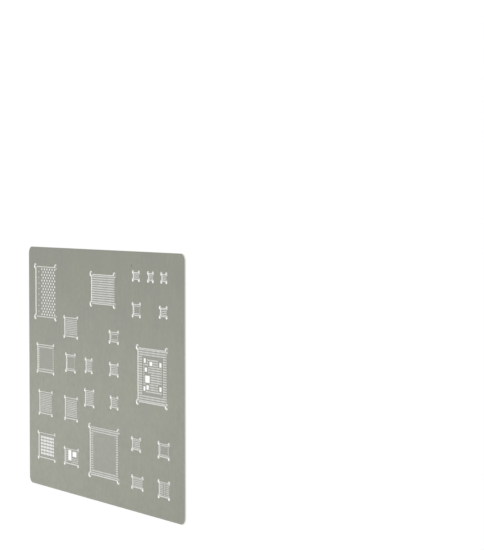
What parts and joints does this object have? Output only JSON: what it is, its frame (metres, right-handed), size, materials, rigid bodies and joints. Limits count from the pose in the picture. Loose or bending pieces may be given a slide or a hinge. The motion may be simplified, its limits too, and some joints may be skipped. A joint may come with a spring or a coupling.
{
  "type": "solder paste stencil",
  "caption": "Thin etched steel stencil plate with recessed chip seats, corner relief ears and fine through apertures for reballing chips.",
  "frame": {"origin": "centre of the flat underside", "axes": "+X along the long side of the sheet, +Y along its short side, +Z out of the upper face with the chip seats"},
  "size_m": [0.09, 0.07, 0.0003],
  "materials": {
    "etched_steel": "fine satin, faintly mottled, unpolished"
  },
  "bodies": {
    "root": {"stencil_plate": "etched_steel"}
  },
  "joints": []
}
